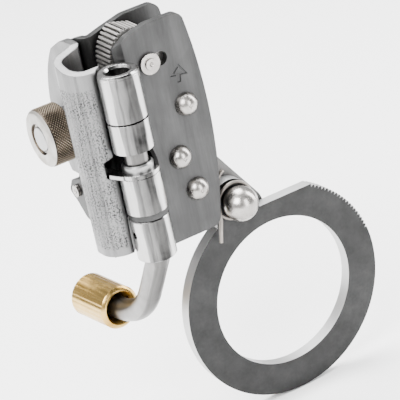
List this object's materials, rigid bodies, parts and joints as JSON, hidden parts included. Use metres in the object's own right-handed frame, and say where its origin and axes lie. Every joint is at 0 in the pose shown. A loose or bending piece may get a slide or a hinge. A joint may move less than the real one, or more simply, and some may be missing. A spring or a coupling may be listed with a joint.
{
  "type": "rope grab",
  "caption": "Hinged steel rope grab: toothed cam between two side plates, swing-open cover with knurled clamp screw, weighted lever and flat ring eye.",
  "frame": {"origin": "the rope's axis, level with the lower edge of the side plates", "axes": "+Z along the rope toward the cam's head, +X from the rope to the attachment eye, -Y toward the visible rivet heads; both side plates are parallel to XZ"},
  "size_m": [0.0963, 0.0533, 0.1407],
  "materials": {
    "plate_steel": "satin stainless sheet",
    "barrel_steel": "polished turned stainless",
    "rivet_steel": "polished stainless",
    "bush_steel": "turned stainless",
    "spring_steel": "drawn spring wire",
    "gate_steel": "matt stainless sheet with an etched band",
    "dark_steel": "dark steel",
    "rod_steel": "satin stainless bar",
    "weight_brass": "turned brass",
    "knob_steel": "knurled steel",
    "screw_steel": "ground steel",
    "cam_steel": "cast stainless with cut teeth",
    "lever_steel": "satin stainless plate",
    "eye_steel": "dark satin stainless plate"
  },
  "bodies": {
    "frame": {"front_side_plate": "plate_steel", "rear_side_plate": "plate_steel", "hinge_tube": "barrel_steel", "plate_rivets": "rivet_steel", "rivet_bushes": "bush_steel", "cam_spring": "spring_steel", "pawl_rivet": "rivet_steel"},
    "gate": {"gate_shell": "gate_steel", "gate_knuckle": "barrel_steel", "top_bush": "barrel_steel", "gate_eye": "dark_steel"},
    "weighted_lever": {"hinge_rod": "rod_steel", "rod_collar": "barrel_steel", "cross_pin": "dark_steel", "stop_tab": "barrel_steel", "stop_collar": "bush_steel", "brass_weight": "weight_brass", "weight_screw": "dark_steel"},
    "clamp_thrust": {"thrust_washer": "bush_steel"},
    "clamp_knob": {"knurled_knob": "knob_steel", "clamp_screw": "screw_steel"},
    "pawl": {"stop_pawl": "plate_steel"},
    "cam": {"cam": "cam_steel", "travel_pin": "rivet_steel", "travel_pin_washer": "rivet_steel"},
    "lever": {"lever_arm": "lever_steel", "drive_pin": "dark_steel", "ball_pin": "rivet_steel"},
    "eye": {"eye_plate": "eye_steel", "eye_spring": "spring_steel"}
  },
  "joints": [
    {"name": "gate_swing", "type": "hinge", "parent": "frame", "child": "gate", "pos_m": [0.0044, -0.0116, 0], "axis": [0, 0, 1], "range_deg": [0, 110]},
    {"name": "weight_swing", "type": "hinge", "parent": "frame", "child": "weighted_lever", "pos_m": [0.0044, -0.0116, 0], "axis": [0, 0, 1], "range_deg": [-18, 3]},
    {"name": "clamp_travel", "type": "slide", "parent": "gate", "child": "clamp_thrust", "axis": [-1, 0, 0], "range_m": [0, 0.004]},
    {"name": "knob_turn", "type": "hinge", "parent": "clamp_thrust", "child": "clamp_knob", "pos_m": [-0.006, 0.0212, 0.0368], "axis": [-1, 0, 0], "range_deg": [0, 1500]},
    {"name": "pawl_swing", "type": "hinge", "parent": "frame", "child": "pawl", "pos_m": [0.002, 0.0282, 0.0128], "axis": [1, 0, 0], "range_deg": [-6, 6]},
    {"name": "cam_swing", "type": "hinge", "parent": "frame", "child": "cam", "pos_m": [0.0207, 0.001, 0.0265], "axis": [0, 1, 0], "range_deg": [0, 7.2]},
    {"name": "lever_swing", "type": "hinge", "parent": "frame", "child": "lever", "pos_m": [0.0242, 0.001, 0.0145], "axis": [0, 1, 0], "range_deg": [-7.2, 0]},
    {"name": "eye_swing", "type": "hinge", "parent": "lever", "child": "eye", "pos_m": [0.0381, 0.001, 0.0034], "axis": [0, -1, 0], "range_deg": [-8, 95]}
  ],
  "couplings": [
    {"joint": "cam_swing", "follows": "lever_swing", "ratio": -1},
    {"joint": "knob_turn", "follows": "clamp_travel", "rad_per_m": 6283.2}
  ]
}
